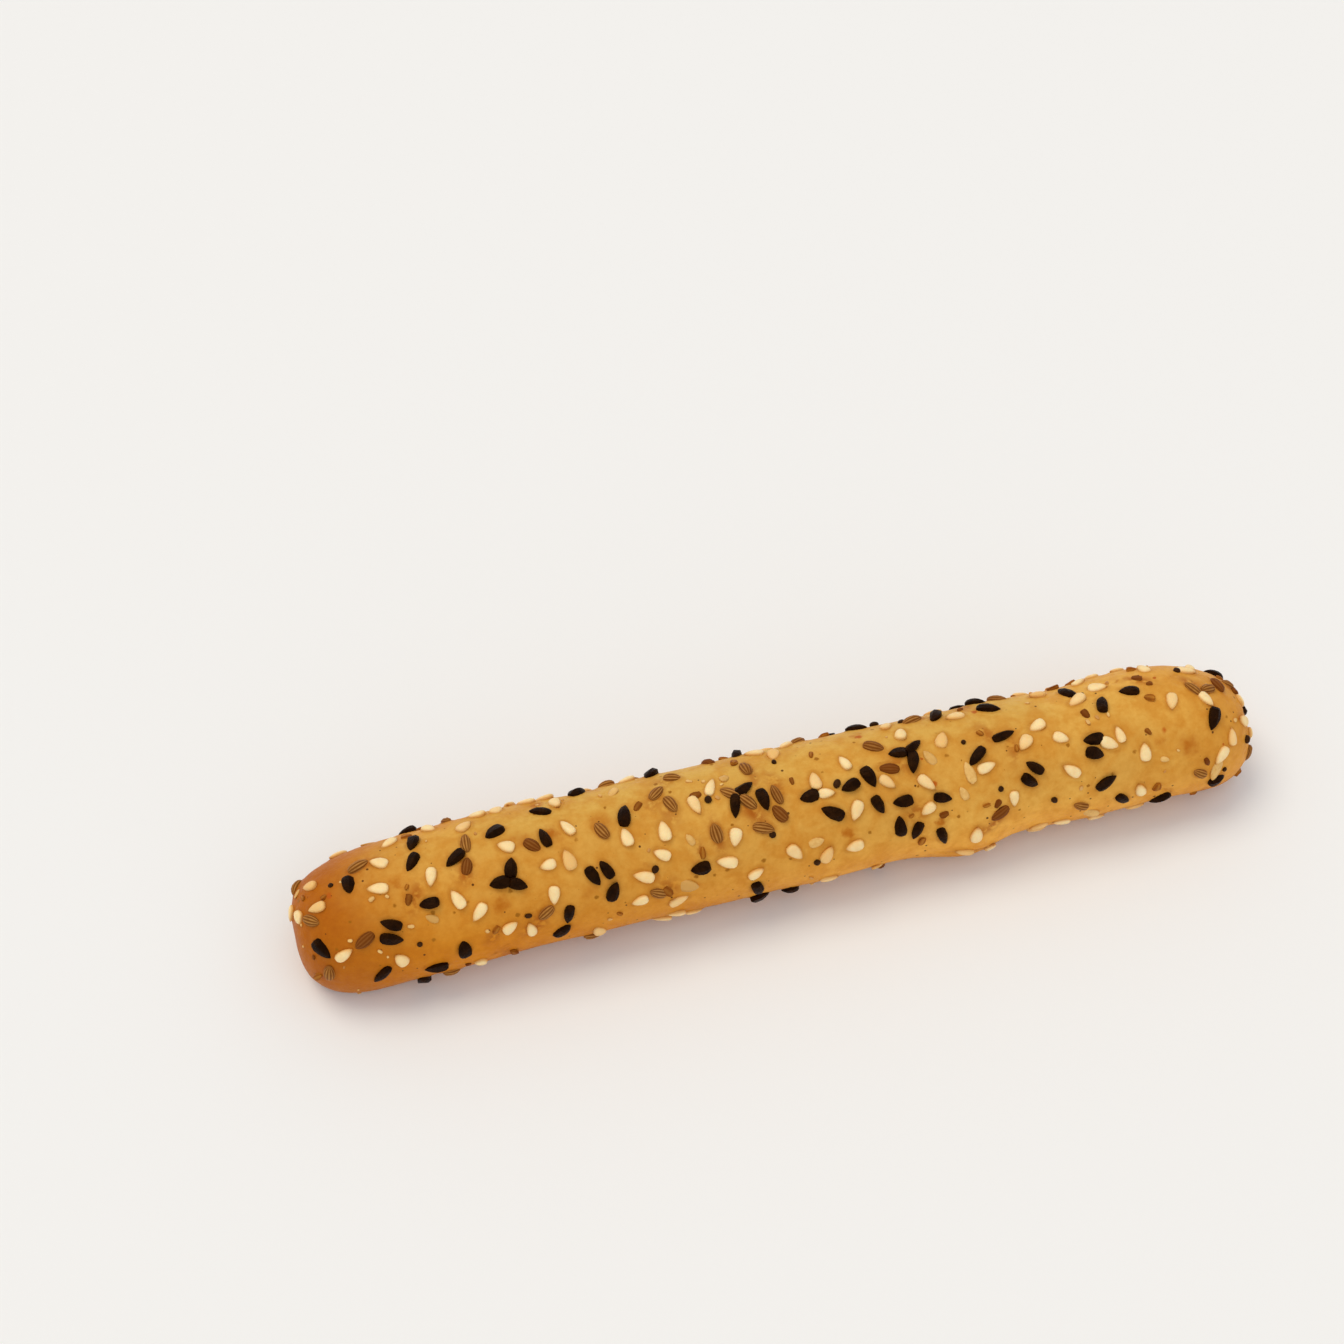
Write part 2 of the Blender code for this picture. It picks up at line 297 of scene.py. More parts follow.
# Smaller bits between the seeds: empty husks, dark round grains, broken flakes and pale crumbs.
litter = {
    # how many, size, share sunk into the crust, lowest height, least gap to the next, draw
    "kinds": {
        "husk": (20, (0.0024, 0.0014, 0.00042), 0.40, 0.0030, 0.0021, 301),
        "grain": (20, (0.0011, 0.0010, 0.0009), 0.36, 0.0020, 0.0015, 302),
        "flake": (54, (0.0015, 0.0010, 0.0007), 0.38, 0.0020, 0.0014, 303),
        "crumb": (64, (0.0007, 0.0005, 0.0004), 0.40, 0.0008, 0.0012, 304),
    },
    "tipMargin": 0.03,
    "sizeSpread": 0.35,
    "sideSpread": 0.2,         # how far each side of a bit strays from its size
    "leanMost": 0.25,
    "plainRing": 0.3,          # a place well away from both ends
    "fullPatch": 0.55,         # crust area per step, as a share of that place's, from which bits lie freely
}


def sowLitter(kind, taken):
    count, sides, sunk, lowest, gap, draw = litter["kinds"][kind]
    rng = random.Random(draw)
    plainPatch = crustFrame(litter["plainRing"], topDegrees)[3]
    sown = []
    while len(sown) < count:
        ring = rng.uniform(litter["tipMargin"], 1 - litter["tipMargin"])
        degrees = rng.uniform(0, 360)
        point, along, outward, patch = crustFrame(ring, degrees)
        share = patch / plainPatch / litter["fullPatch"]
        if rng.random() > cover(degrees) * share or point.z < lowest:
            continue
        if min((point - other["point"]).length for other in taken + sown) < gap:
            continue
        scale = 1 + litter["sizeSpread"] * rng.uniform(-1, 1)
        size = [side * scale * (1 + litter["sideSpread"] * rng.uniform(-1, 1)) for side in sides]
        rotation = surfaceAxes(along, outward) @ Matrix.Rotation(rng.uniform(0, math.tau), 3, "Z")
        lean = rng.uniform(-litter["leanMost"], litter["leanMost"])
        rotation = rotation @ Matrix.Rotation(lean, 3, "Y")
        sown.append({"kind": kind, "point": point, "outward": outward, "size": size, "rotation": rotation,
                     "place": point + outward * size[2] * (0.5 - sunk)})
    return sown


bits = []
for kind in litter["kinds"]:
    bits += sowLitter(kind, seeds + bits)
print("bits between them:", len(bits))


# Small helpers for node trees.
def nodeTree(name, kind, inputs, outputs):
    # a new tree, its inputs given as name, type and first value, its outputs as name and type
    tree = bpy.data.node_groups.new(name, kind)
    for label, form, *value in inputs:
        socket = tree.interface.new_socket(label, in_out="INPUT", socket_type="NodeSocket" + form)
        if value:
            socket.default_value = value[0]
    for label, form in outputs:
        tree.interface.new_socket(label, in_out="OUTPUT", socket_type="NodeSocket" + form)
    return tree, tree.nodes.new("NodeGroupInput").outputs, tree.nodes.new("NodeGroupOutput").inputs


def feed(tree, node, **inputs):
    # a node's inputs, by name or as i and a number, each a value or a socket to link from
    for key, value in inputs.items():
        socket = node.inputs[int(key[1:]) if key[1:].isdigit() else key.replace("_", " ")]
        if isinstance(value, bpy.types.NodeSocket):
            tree.links.new(value, socket)
        else:
            socket.default_value = value
    return node


def addNode(tree, kind, settings=(), **inputs):
    node = tree.nodes.new(kind)
    for key, value in dict(settings).items():
        setattr(node, key, value)
    return feed(tree, node, **inputs)


def math2(tree, operation, a, b=0.0, clamp=False):
    node = addNode(tree, "ShaderNodeMath", {"operation": operation, "use_clamp": clamp}, i0=a, i1=b)
    return node.outputs[0]


def blendColor(tree, mask, under, over):
    return addNode(tree, "ShaderNodeMix", {"data_type": "RGBA"}, i0=mask, i6=under, i7=over).outputs[2]


def rampMask(tree, value, start, end):
    return addNode(tree, "ShaderNodeMapRange", {"interpolation_type": "SMOOTHSTEP"},
                   Value=value, i1=start, i2=end).outputs[0]


def meshValue(tree, name, kind="FLOAT"):
    return addNode(tree, "GeometryNodeInputNamedAttribute", {"data_type": kind}, Name=name).outputs[0]


def noise(tree, place, size, **more):
    scale = math2(tree, "DIVIDE", 1.0, size) if isinstance(size, bpy.types.NodeSocket) else 1 / size
    return addNode(tree, "ShaderNodeTexNoise", Vector=place, Scale=scale, **more).outputs[0]


def setInputs(modifier, values):
    # a modifier's inputs go by their identifiers
    for item in modifier.node_group.interface.items_tree:
        if item.item_type == "SOCKET" and item.in_out == "INPUT" and item.name in values:
            modifier[item.identifier] = values[item.name]


def plainMesh(piece):
    # the modifiers' result as a plain mesh, at the origin, with the modifiers gone
    bpy.context.view_layer.update()
    graph = bpy.context.evaluated_depsgraph_get()
    result = bpy.data.meshes.new_from_object(piece.evaluated_get(graph))
    piece.modifiers.clear()
    piece.data = result
    result.name = piece.name
    return piece


def newPiece(name, mesh):
    piece = bpy.data.objects.new(name, mesh)
    bpy.context.scene.collection.objects.link(piece)
    return piece


# Patterns that several finishes share.
patterns = {
    "mottleNoise": {"Detail": 5.0, "Roughness": 0.62, "Distortion": 0.3},
    "mottleEdge": (0.36, 0.68),
    "grainNoise": {"Detail": 6.0, "Roughness": 0.6, "Distortion": 0.2},
    "pitCells": {"Randomness": 1.0, "Smoothness": 0.35},
    "glossRange": (0.3, 0.7),
    "tornDetail": 3.0,
    "tornScale": 7.0,          # how much finer a spot's torn edge is than the spacing of the spots
    "sizePower": 2.0,          # a higher power makes more of the spots small
}


def makeMottle():
    # uneven browning: a soft cloudy mix of two colors
    tree, given, result = nodeTree(
        "mottle", "ShaderNodeTree",
        [("Vector", "Vector"), ("Plain", "Color", (0.6, 0.3, 0.1, 1)),
         ("Browned", "Color", (0.4, 0.15, 0.03, 1)), ("Patch Size", "Float", 0.004),
         ("Amount", "Float", 0.5)],
        [("Color", "Color"), ("Mask", "Float")],
    )
    cloud = noise(tree, given["Vector"], given["Patch Size"], **patterns["mottleNoise"])
    spread = rampMask(tree, cloud, *patterns["mottleEdge"])
    mask = math2(tree, "MULTIPLY", spread, given["Amount"], True)
    mix = blendColor(tree, mask, given["Plain"], given["Browned"])
    tree.links.new(mix, result["Color"])
    tree.links.new(mask, result["Mask"])
    return tree


def makeGrain():
    # fine skin: soft wrinkles and smaller pits, as a height from 0 to 1, and a gloss that varies
    tree, given, result = nodeTree(
        "skin grain", "ShaderNodeTree",
        [("Vector", "Vector"), ("Grain Size", "Float", 0.0004), ("Pit Share", "Float", 0.4),
         ("Dull", "Float", 0.55), ("Glossy", "Float", 0.4)],
        [("Height", "Float"), ("Roughness", "Float")],
    )
    soft = noise(tree, given["Vector"], given["Grain Size"], **patterns["grainNoise"])
    pits = addNode(tree, "ShaderNodeTexVoronoi", {"feature": "SMOOTH_F1"}, Vector=given["Vector"],
                   Scale=math2(tree, "DIVIDE", 1.0, given["Grain Size"]), **patterns["pitCells"])
    pitDepth = math2(tree, "MULTIPLY", pits.outputs["Distance"], given["Pit Share"])
    height = math2(tree, "ADD", soft, pitDepth)
    least, most = patterns["glossRange"]
    gloss = addNode(tree, "ShaderNodeMapRange", Value=soft, i1=least, i2=most,
                    i3=given["Glossy"], i4=given["Dull"])
    tree.links.new(height, result["Height"])
    tree.links.new(gloss.outputs[0], result["Roughness"])
    return tree


def makeSpots():
    # scattered spots of many sizes, one at most in each cell of a foam of cells
    tree, given, result = nodeTree(
        "spots", "ShaderNodeTree",
        [("Vector", "Vector"), ("Spacing", "Float", 0.003), ("Largest", "Float", 0.15),
         ("Softness", "Float", 0.3), ("Raggedness", "Float", 0.0)],
        [("Mask", "Float")],
    )
    scale = math2(tree, "DIVIDE", 1.0, given["Spacing"])
    cells = addNode(tree, "ShaderNodeTexVoronoi", Vector=given["Vector"], Scale=scale)
    torn = addNode(tree, "ShaderNodeTexNoise", Vector=given["Vector"],
                   Scale=math2(tree, "MULTIPLY", scale, patterns["tornScale"]), Detail=patterns["tornDetail"])
    torn = math2(tree, "SUBTRACT", torn.outputs[0], 0.5)      # the noise lies round a half
    torn = math2(tree, "MULTIPLY", torn, given["Raggedness"])
    distance = math2(tree, "ADD", cells.outputs["Distance"], torn)
    drawn = addNode(tree, "ShaderNodeSeparateColor", Color=cells.outputs["Color"]).outputs[1]
    drawn = math2(tree, "POWER", drawn, patterns["sizePower"])
    radius = math2(tree, "MULTIPLY", drawn, given["Largest"])
    core = math2(tree, "MULTIPLY", radius, math2(tree, "SUBTRACT", 1.0, given["Softness"]))
    tree.links.new(rampMask(tree, distance, radius, core), result["Mask"])
    return tree


mottle = makeMottle()
grain = makeGrain()
spots = makeSpots()


def finish(name):
    made = bpy.data.materials.new(name)
    made.use_nodes = True
    tree = made.node_tree
    return made, tree, tree.nodes["Principled BSDF"]


def placeGroup(tree, group, **inputs):
    return addNode(tree, "ShaderNodeGroup", {"node_tree": group}, **inputs).outputs


def layColor(tree, color, mask, over, share=1.0):
    # another color over this one, as strongly as the mask and the share say
    return blendColor(tree, math2(tree, "MULTIPLY", mask, share), color, over)


def ownValue(tree, name, form="Fac"):
    # a value that the mesh keeps at each of its points
    return addNode(tree, "ShaderNodeAttribute", {"attribute_name": name}).outputs[form]


def closeFinish(tree, shader, color, place, look, marks):
    # the fine skin, gloss and shine that every finish ends with
    pits, dull, glossy, strength, height = marks["skin"]
    close = placeGroup(tree, grain, Vector=place, Grain_Size=look["grainSize"], Pit_Share=pits,
                       Dull=dull, Glossy=glossy)
    bump = addNode(tree, "ShaderNodeBump", Height=close["Height"], Strength=strength, Distance=height)
    feed(tree, shader, Base_Color=color, Roughness=close["Roughness"], Normal=bump.outputs[0],
         Specular_IOR_Level=look["shine"], Specular_Tint=look["shineColor"])


crustLook = {
    "golden": (0.655, 0.322, 0.054, 1),
    "crownGold": (0.680, 0.388, 0.076, 1),
    "paleGolden": (0.760, 0.412, 0.078, 1),
    # painted light: a brighter gold that lifts the dim lower flank
    "paintedFlankLight": (0.840, 0.392, 0.056, 1),
    "amber": (0.650, 0.222, 0.008, 1),
    "endBrown": (0.420, 0.110, 0.004, 1),
    "bellyBrown": (0.440, 0.150, 0.010, 1),
    "footBrown": (0.300, 0.100, 0.010, 1),
    # browned rims round the seeds, also painted contact shade there and painted shade in the lip's crease
    "rimBrownAndShade": (0.400, 0.120, 0.006, 1),
    "speckBrown": (0.070, 0.016, 0.002, 1),
    "pockBrown": (0.330, 0.112, 0.003, 1),
    "smudgeRed": (0.450, 0.115, 0.001, 1),
    "emberRed": (0.480, 0.095, 0.004, 1),
    # spots: color, spacing, largest radius as a share of it, softness, raggedness, strength
    "spots": (
        ("smudgeRed", 0.0070, 0.34, 0.95, 0.40, 0.85),
        ("emberRed", 0.0050, 0.14, 0.60, 0.14, 0.90),
        ("pockBrown", 0.0022, 0.23, 0.55, 0.18, 0.90),
        ("speckBrown", 0.0016, 0.15, 0.25, 0.02, 0.90),
    ),
    "smearRust": (0.400, 0.100, 0.005, 1),
    # where each color begins and is full, in metres or as a value of its noise, and how strong it is
    "leftward": (0.030, -0.055),
    "lowFlank": (0.0120, 0.0),
    "flankWander": -0.007,     # how far the slow drift and the left end move the flank's upper edge
    "flankLift": 0.005,
    "crownAcross": (-0.004, 0.005),
    "crownUp": (0.008, 0.015),
    "palePatches": (0.46, 0.70),
    "tipWander": 0.020,
    "rightTip": (0.060, 0.084),
    "rightTipShare": 0.50,
    "leftTip": (0.059, 0.082),
    "leftTipShare": 0.50,      # on the crown, and more of it lower down
    "belly": (0.0054, 0.0034),
    "bellyShare": 0.40,
    "mottleShare": 0.30,
    "freckleShade": (0.30, 0.85),
    "foot": (0.0009, 0.0001),
    "footShare": 0.80,
    "rimShare": 0.38,
    "creaseShadeShare": 0.60,
    "smearEdge": (0.36, 0.54),
    # freckles multiply the crust's color by one of these
    "paleTone": (1.090, 1.125, 1.200, 1),
    "brownTone": (0.940, 0.860, 0.720, 1),
    "driftSize": 0.026,
    "mottleSize": 0.0034,
    "freckleSize": 0.0010,
    "tearSize": 0.0011,
    "noiseDetail": 4.0,
    "freckleRoughness": 0.65,
    "grainSize": 0.00042,
    # share of pits, dull and glossy roughness, strength and height of the bumps
    "skin": (0.45, 0.60, 0.42, 0.55, 0.00008),
    "shine": 0.15,
    "shineColor": (1.0, 0.80, 0.50, 1),
}


def crustFinish():
    made, tree, shader = finish("golden crust")
    look = crustLook
    detail = look["noiseDetail"]
    place = tree.nodes.new("ShaderNodeTexCoord").outputs["Object"]
    split = addNode(tree, "ShaderNodeSeparateXYZ", Vector=place).outputs
    drift = noise(tree, place, look["driftSize"], Detail=detail)
    leftward = rampMask(tree, split["X"], *look["leftward"])
    rightward = math2(tree, "SUBTRACT", 1.0, leftward)
    height = math2(tree, "ADD", split["Z"], math2(tree, "MULTIPLY", drift, look["flankWander"]))
    height = math2(tree, "SUBTRACT", height, math2(tree, "MULTIPLY", leftward, look["flankLift"]))
    low = rampMask(tree, height, *look["lowFlank"])
    # paler along the crown and in patches, and painted light brightening the lower flank towards the right
    # end
    crown = math2(tree, "MULTIPLY", rampMask(tree, split["Y"], *look["crownAcross"]),
                  rampMask(tree, split["Z"], *look["crownUp"]))
    color = blendColor(tree, crown, look["golden"], look["crownGold"])
    color = blendColor(tree, rampMask(tree, drift, *look["palePatches"]), color, look["paleGolden"])
    color = layColor(tree, color, low, look["paintedFlankLight"], rightward)
    # the flank darkens from the shoulder down to the tray towards the left end
    color = layColor(tree, color, low, look["amber"], leftward)
    # both tips bake darker, the left one most
    wander = math2(tree, "MULTIPLY", drift, look["tipWander"])
    rightTip = rampMask(tree, math2(tree, "ADD", wander, split["X"]), *look["rightTip"])
    color = layColor(tree, color, rightTip, look["amber"], look["rightTipShare"])
    leftTip = rampMask(tree, math2(tree, "SUBTRACT", wander, split["X"]), *look["leftTip"])
    leftShare = math2(tree, "ADD", low, look["leftTipShare"], True)
    color = layColor(tree, color, leftTip, look["endBrown"], leftShare)
    belly = rampMask(tree, split["Z"], *look["belly"])
    color = layColor(tree, color, belly, look["bellyBrown"], look["bellyShare"])
    clouds = placeGroup(tree, mottle, Vector=place, Plain=color, Browned=look["amber"],
                        Patch_Size=look["mottleSize"], Amount=look["mottleShare"])
    # fine freckles, paler or browner than the crust round them
    freckle = noise(tree, place, look["freckleSize"], Detail=detail, Roughness=look["freckleRoughness"])
    cloudy = math2(tree, "ADD", freckle, clouds["Mask"])
    least, most = look["freckleShade"]
    shade = addNode(tree, "ShaderNodeMapRange", Value=cloudy, i1=least, i2=most)
    tone = blendColor(tree, shade.outputs[0], look["paleTone"], look["brownTone"])
    color = addNode(tree, "ShaderNodeVectorMath", {"operation": "MULTIPLY"}, i0=clouds["Color"],
                    i1=tone).outputs[0]
    foot = rampMask(tree, split["Z"], *look["foot"])
    color = layColor(tree, color, foot, look["footBrown"], look["footShare"])
    # a browned ring round each seed, darker also as painted contact shade where seed meets crust
    color = layColor(tree, color, ownValue(tree, "seedRim"), look["rimBrownAndShade"], look["rimShare"])
    # painted shade darkens the crease over the lip
    color = layColor(tree, color, ownValue(tree, "crease"), look["rimBrownAndShade"], look["creaseShadeShare"])
    # rusty smears beside some flakes, torn at their edges
    torn = rampMask(tree, noise(tree, place, look["tearSize"], Detail=detail), *look["smearEdge"])
    color = layColor(tree, color, ownValue(tree, "smear"), look["smearRust"], torn)
    # smudges, rusty dots, brown pocks and tiny dark specks
    for name, spacing, largest, softness, raggedness, share in look["spots"]:
        spot = placeGroup(tree, spots, Vector=place, Spacing=spacing, Largest=largest,
                          Softness=softness, Raggedness=raggedness)["Mask"]
        color = layColor(tree, color, spot, look[name], share)
    closeFinish(tree, shader, color, place, look, look)
    return made


# The dough: a fine globe moved on to the stick's surface, then given its skin by a node tree.
dough = {
    "sides": 190,
    "rings": 500,
    "capRingShare": 0.11,
    "rimPlace": 1.06,          # where the crust rises against a seed, in half seed widths
    "rimWidth": 0.24,
    "rimSearch": 1.1,          # how far from a seed a rim is looked for, in seed lengths
    # the inputs of the skin's node tree
    "skin": {
        "Swell Size": 0.0075,
        "Swell Height": 0.00026,
        "Wrinkle Size": 0.0017,
        "Wrinkle Height": 0.00010,
        "Pit Size": 0.0026,
        "Pit Depth": 0.00008,
        "Rim Height": 0.00010,
        "Crease Depth": 0.00022,
    },
    "detail": {"Swell": 2.0, "Wrinkle": 3.0},
    "pitEdge": (0.30, 0.08),
    "stillBelow": 0.0008,      # below this height the skin fades, so that the foot stays flat
    # the crease over the bulging lip: place along (share), place around, reach along, slope, width
    "crease": (0.205, 206.0, 0.048, 9.0, 2.6),
    # rusty smears in the crust: kinds they lie beside, share of those, length, breadth, strength
    "smearKinds": ("flake", "anise"),
    "smearShare": 0.34,
    "smearLength": (0.0012, 0.0026),
    "smearBreadth": (0.0008, 0.0014),
    "smearStrength": (0.60, 1.0),
    "smearSearch": 3.0,        # how far from a flake a smear is looked for, in smear lengths
    "smearDraw": 77,
}


def seedRims(places):
    # how close each point of the crust lies to the edge of a seed, from 0 to 1
    rim = np.zeros(len(places))
    for seed in seeds:
        offset = places - np.array(seed["place"])
        near = np.nonzero((offset ** 2).sum(1) < (seed["size"][0] * dough["rimSearch"]) ** 2)[0]
        local = offset[near] @ np.array(seed["rotation"])
        reach = np.hypot(local[:, 0] / (seed["size"][0] / 2), local[:, 1] / (seed["size"][1] / 2))
        ring = np.exp(-((reach - dough["rimPlace"]) / dough["rimWidth"]) ** 2)
        rim[near] = np.maximum(rim[near], ring)
    return rim


def lipCrease(share, degrees):
    # the crease where the dough folds over its lip at the foot, from 0 to 1
    along, around, reach, slope, width = dough["crease"]
    off = (share - along) / reach
    return np.exp(-off ** 4 - (degreesBetween(degrees, around + slope * off) / width) ** 2)


def rustySmears(places):
    # how strongly each point of the crust is stained beside a flake, from 0 to 1
    rng = random.Random(dough["smearDraw"])
    smear = np.zeros(len(places))
    for bit in seeds + bits:
        if bit["kind"] not in dough["smearKinds"] or rng.random() > dough["smearShare"]:
            continue
        half = [rng.uniform(*dough[key]) for key in ("smearLength", "smearBreadth")]
        shift = [side * rng.uniform(-1, 1) for side in half]
        strength = rng.uniform(*dough["smearStrength"])
        offset = places - np.array(bit["place"])
        near = np.nonzero((offset ** 2).sum(1) < (dough["smearSearch"] * half[0]) ** 2)[0]
        local = offset[near] @ np.array(bit["rotation"])
        reach = np.hypot((local[:, 0] - shift[0]) / half[0], (local[:, 1] - shift[1]) / half[1])
        smear[near] = np.maximum(smear[near], strength * np.exp(-reach ** 2))
    return smear


def makeSkinTree():
    # moves the dough's surface in and out along its normals
    tree, given, result = nodeTree(
        "dough skin", "GeometryNodeTree",
        [("Geometry", "Geometry")] + [(label, "Float", value) for label, value in dough["skin"].items()]
        + [("Finish", "Material")],
        [("Geometry", "Geometry")],
    )
    place = tree.nodes.new("GeometryNodeInputPosition").outputs[0]
    normal = tree.nodes.new("GeometryNodeInputNormal").outputs[0]
    total = 0.0
    for kind, detail in dough["detail"].items():
        wave = noise(tree, place, given[kind + " Size"], Detail=detail)
        centred = math2(tree, "SUBTRACT", wave, 0.5)          # the noise lies round a half
        lift = math2(tree, "MULTIPLY", centred, given[kind + " Height"])
        total = math2(tree, "ADD", total, lift)
    cells = addNode(tree, "ShaderNodeTexVoronoi", Vector=place,
                    Scale=math2(tree, "DIVIDE", 1.0, given["Pit Size"]))
    hollow = rampMask(tree, cells.outputs["Distance"], *dough["pitEdge"])
    for operation, mask, label in (("SUBTRACT", hollow, "Pit Depth"),
                                   ("ADD", meshValue(tree, "seedRim"), "Rim Height"),
                                   ("SUBTRACT", meshValue(tree, "crease"), "Crease Depth")):
        total = math2(tree, operation, total, math2(tree, "MULTIPLY", mask, given[label]))
    height = addNode(tree, "ShaderNodeSeparateXYZ", Vector=place).outputs["Z"]
    above = addNode(tree, "ShaderNodeMapRange", Value=height, i1=0.0, i2=dough["stillBelow"])
    move = addNode(tree, "ShaderNodeVectorMath", {"operation": "SCALE"}, i0=normal,
                   Scale=math2(tree, "MULTIPLY", total, above.outputs[0]))
    shift = addNode(tree, "GeometryNodeSetPosition", Geometry=given["Geometry"], Offset=move.outputs[0])
    dressed = addNode(tree, "GeometryNodeSetMaterial", Geometry=shift.outputs[0], Material=given["Finish"])
    tree.links.new(dressed.outputs[0], result[0])
    return tree


def makeCrust(material):
    bm = bmesh.new()
    bmesh.ops.create_uvsphere(bm, u_segments=dough["sides"], v_segments=dough["rings"], radius=1.0)
    mesh = bpy.data.meshes.new("crust")
    bm.to_mesh(mesh)
    bm.free()
    globe = np.zeros(len(mesh.vertices) * 3)
    mesh.vertices.foreach_get("co", globe)
    globe = globe.reshape(-1, 3)
    ring = np.arccos(np.clip(-globe[:, 2], -1, 1)) / math.pi
    x = station(ring, dough["capRingShare"])
    degrees = np.degrees(np.arctan2(globe[:, 0], globe[:, 1]))
    places = crustPoint(x, degrees)
    mesh.vertices.foreach_set("co", places.ravel())
    masks = {"seedRim": seedRims(places), "smear": rustySmears(places),
             "crease": lipCrease(x / stick["length"], degrees)}
    for name, mask in masks.items():
        mesh.attributes.new(name, "FLOAT", "POINT").data.foreach_set("value", mask)
    bm = bmesh.new()
    bm.from_mesh(mesh)
    bmesh.ops.recalc_face_normals(bm, faces=bm.faces)
    bm.to_mesh(mesh)
    bm.free()
    mesh.shade_smooth()
    mesh.materials.append(material)
    piece = newPiece("crust", mesh)
    skin = piece.modifiers.new("skin", "NODES")
    skin.node_group = makeSkinTree()
    setInputs(skin, {**dough["skin"], "Finish": material})
    return plainMesh(piece)


crust = makeCrust(crustFinish())
print("crust made:", len(crust.data.polygons), "faces")

# The shapes of seeds and bits. Each kind has a few, so that no two neighbours look alike.
# taper and point narrow the +X end, corners and edge make it angular, flat levels its back, and sharp is
# the angle from which its edges show.
shapeValues = ("shapes", "sides", "rings", "taper", "blunt", "point", "corners", "edge", "flat", "bend",
               "hook", "jitter", "ribs", "sharp")
shapeRows = {
    "sesame": (6, 10, 8, 0.55, 0.75, 0.95, 0, 0.00, 0.80, 0.06, 0.12, 0.035, 0.00, 180.0),
    "nigella": (8, 10, 8, 0.42, 0.66, 0.95, 4, 0.85, 1.00, 0.05, 0.15, 0.050, 0.00, 32.0),
    "anise": (6, 20, 8, 0.16, 0.80, 0.60, 0, 0.00, 1.00, 0.10, 0.16, 0.010, 0.13, 180.0),
    "husk": (5, 9, 7, 0.34, 0.80, 0.75, 0, 0.00, 0.55, 0.10, 0.06, 0.050, 0.00, 180.0),
    "grain": (5, 9, 7, 0.05, 0.95, 0.00, 5, 0.35, 1.00, 0.00, 0.00, 0.050, 0.00, 40.0),
    "flake": (7, 8, 6, 0.25, 0.60, 0.20, 4, 0.60, 0.80, 0.10, 0.10, 0.200, 0.00, 32.0),
    "crumb": (6, 7, 5, 0.15, 0.70, 0.00, 4, 0.50, 0.90, 0.00, 0.00, 0.140, 0.00, 40.0),
}
seedShapes = {kind: dict(zip(shapeValues, row)) for kind, row in shapeRows.items()}

# What all the shapes share.
seedForm = {
    "cornerSpread": 0.3,       # how unevenly the corners stand round a shape
    "cornerCut": 0.82,         # how flat the flanks between them are
    "flankLeast": 0.3,
    "cornerMost": 1.3,
    "ribEnd": 0.49,            # where the ribs run out near both ends
}


def growSeed(kind, number, home):
    # one seed a metre long, pointed along +X, with its place on the seed kept as an attribute
    form = seedShapes[kind]
    rng = random.Random(kind + str(number))
    corners = [math.tau * (corner + seedForm["cornerSpread"] * rng.uniform(-1, 1)) / form["corners"]
               for corner in range(form["corners"])]
    bm = bmesh.new()
    bmesh.ops.create_uvsphere(bm, u_segments=form["sides"], v_segments=form["rings"], radius=0.5)
    girths = []
    for vertex in bm.verts:
        along = vertex.co.z + 0.5
        around = 2 * math.hypot(vertex.co.x, vertex.co.y)
        girths.append(around ** (form["blunt"] + form["point"] * along ** 2) * (1 - form["taper"] * along))
    fullest = max(girths)
    bend = form["bend"] * rng.uniform(-1, 1)
    hook = form["hook"] * rng.uniform(-1, 1)
    ribHeights = {}
    for vertex, girth in zip(bm.verts, girths):
        along = vertex.co.z
        direction = Vector((vertex.co.y, vertex.co.x)).normalized()
        angle = math.atan2(direction.y, direction.x)
        rib = 0.5 + 0.5 * math.cos(form["sides"] / 2 * angle)      # 1 on a rib, 0 in the furrow
        radius = girth / fullest / 2
        if corners:
            flank = max(seedForm["flankLeast"], max(math.cos(angle - corner) for corner in corners))
            radius *= 1 + form["edge"] * (min(seedForm["cornerMost"], seedForm["cornerCut"] / flank) - 1)
        radius *= 1 - form["ribs"] * (1 - rib)
        radius *= 1 + form["jitter"] * rng.uniform(-1, 1)
        across = direction.x * radius + hook * (along + 0.5) ** 2
        level = math.copysign(abs(2 * direction.y * radius) ** form["flat"], direction.y) / 2
        vertex.co = Vector((along, across, level - bend * (2 * along) ** 2))
        ribHeights[vertex.index] = rib if abs(along) < seedForm["ribEnd"] else 0.5
    bmesh.ops.recalc_face_normals(bm, faces=bm.faces)
    mesh = bpy.data.meshes.new(f"{kind}Shape{number}")
    bm.to_mesh(mesh)
    bm.free()
    local = [value for vertex in mesh.vertices for value in vertex.co]
    mesh.attributes.new("seedPlace", "FLOAT_VECTOR", "POINT").data.foreach_set("vector", local)
    ribs = mesh.attributes.new("rib", "FLOAT", "POINT")
    ribs.data.foreach_set("value", [ribHeights[vertex.index] for vertex in mesh.vertices])
    mesh.shade_smooth()
    if form["sharp"] < 180:      # rounded kinds are smooth all over
        mesh.set_sharp_from_angle(angle=math.radians(form["sharp"]))
    home.objects.link(bpy.data.objects.new(mesh.name, mesh))


